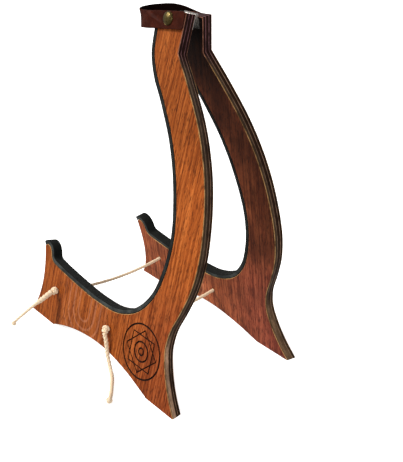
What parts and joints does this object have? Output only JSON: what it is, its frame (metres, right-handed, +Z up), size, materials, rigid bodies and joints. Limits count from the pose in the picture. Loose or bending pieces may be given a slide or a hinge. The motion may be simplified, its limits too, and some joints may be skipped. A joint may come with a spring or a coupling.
{
  "type": "instrument stand",
  "caption": "Folding wooden A-frame floor stand that cradles a round-backed lute: lined hooks and arms, rope spread limiters and a snap-closed leather neck strap.",
  "frame": {"origin": "on the floor, midway between the feet (centre of the bottom of the bounding box, rope tails left out)", "axes": "-X front, where the hooks are; +X back; -Y left panel; +Y right panel; +Z up"},
  "size_m": [0.3968, 0.3311, 0.5566],
  "materials": {
    "stained_wood": "satin, orange-brown stain, dark ply edges",
    "liner": "matte closed-cell foam strip",
    "hinge_metal": "bright nickel",
    "snap_brass": "antique brass, worn bright on the rims",
    "strap_leather": "semi-gloss dark brown",
    "jute_rope": "natural twisted jute"
  },
  "bodies": {
    "right_panel": {"right_panel": "stained_wood", "right_liner": "liner", "right_hinge_leaf": "hinge_metal", "right_hinge_screw_1": "hinge_metal", "right_hinge_screw_2": "hinge_metal", "right_hinge_screw_3": "hinge_metal", "hinge_pin": "hinge_metal", "front_rope_span": "jute_rope", "rear_rope_span": "jute_rope", "front_rope_knot_right": "jute_rope", "rear_rope_knot_right": "jute_rope", "strap_anchor_tab": "strap_leather", "strap_screw_1": "snap_brass", "strap_screw_2": "snap_brass"},
    "left_panel": {"left_panel": "stained_wood", "left_liner": "liner", "left_hinge_leaf": "hinge_metal", "left_hinge_screw_1": "hinge_metal", "left_hinge_screw_2": "hinge_metal", "left_hinge_screw_3": "hinge_metal", "front_rope_knot_left": "jute_rope", "rear_rope_knot_left": "jute_rope", "front_rope_tail": "jute_rope", "rear_rope_tail": "jute_rope", "front_rope_end_knot": "jute_rope", "rear_rope_end_knot": "jute_rope", "snap_stud": "snap_brass"},
    "neck_strap": {"neck_strap": "strap_leather", "snap_cap": "snap_brass", "snap_socket": "snap_brass"}
  },
  "joints": [
    {"name": "panel_fold", "type": "hinge", "parent": "right_panel", "child": "left_panel", "pos_m": [0, 0, 0.54802], "axis": [1, 0, 0], "range_deg": [0, 23], "deforming": ["front_rope_span", "rear_rope_span"]},
    {"name": "strap_swing", "type": "hinge", "parent": "right_panel", "child": "neck_strap", "pos_m": [-0.007, 0.02543, 0.54099], "axis": [0, 0.2011, -0.9796], "range_deg": [0, 120]}
  ]
}
